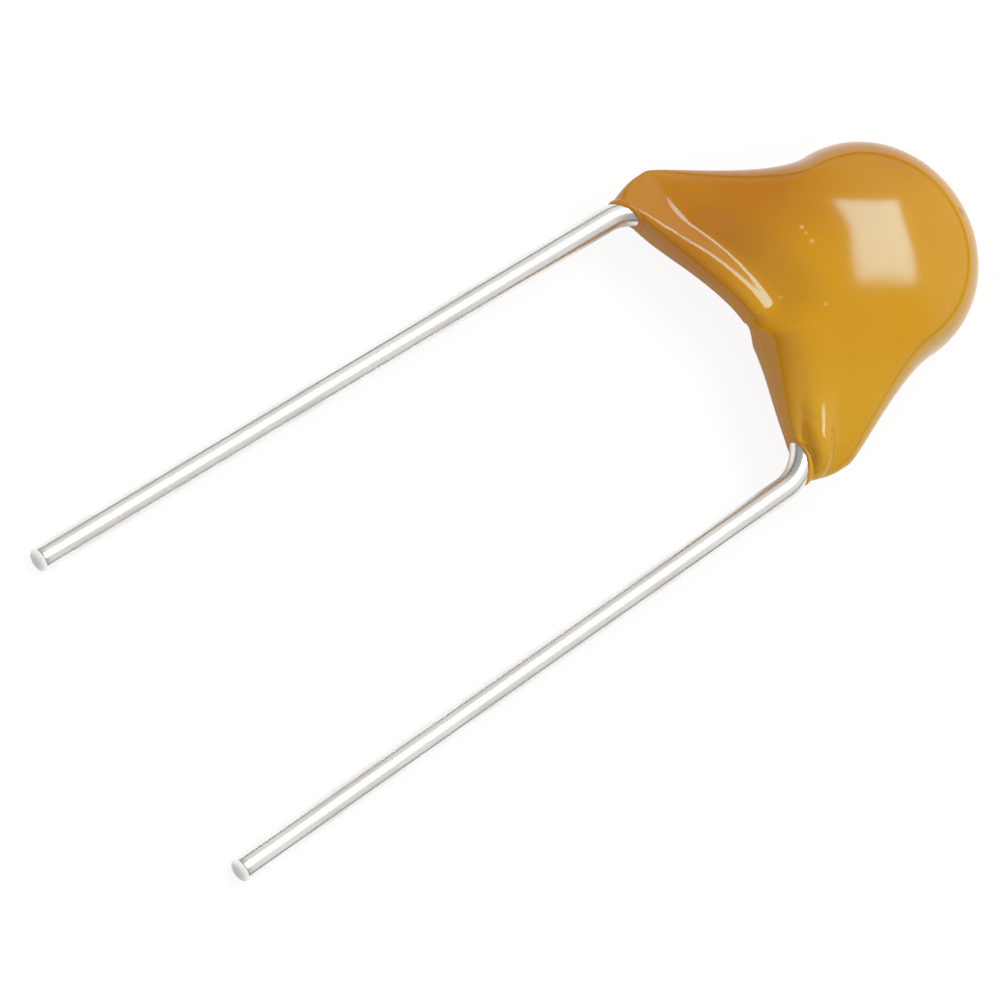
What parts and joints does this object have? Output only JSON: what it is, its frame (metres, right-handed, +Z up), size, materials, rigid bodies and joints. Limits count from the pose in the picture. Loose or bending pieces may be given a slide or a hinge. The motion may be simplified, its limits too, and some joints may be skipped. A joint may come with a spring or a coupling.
{
  "type": "multilayer ceramic capacitor",
  "caption": "Radial multilayer ceramic capacitor: a soldered ceramic chip in a dipped resin body with flared legs, on spread, kinked wire leads.",
  "frame": {"origin": "middle of the part's outline, on the surface that it lies on", "axes": "+X across the leads, +Y from the lead tips to the head, +Z up"},
  "size_m": [0.0062, 0.0178, 0.0023],
  "materials": {
    "resin": "glossy dipped resin",
    "tinned_wire": "bright tin",
    "ceramic": "sintered, matte",
    "plate_metal": "sintered nickel",
    "cap_metal": "plated, satin",
    "solder": "reflowed, satin"
  },
  "bodies": {
    "root": {"epoxy_coat": "resin", "left_lead": "tinned_wire", "right_lead": "tinned_wire", "ceramic_block": "ceramic", "left_electrodes": "plate_metal", "right_electrodes": "plate_metal", "left_termination": "cap_metal", "right_termination": "cap_metal", "left_solder": "solder", "right_solder": "solder"}
  },
  "joints": []
}
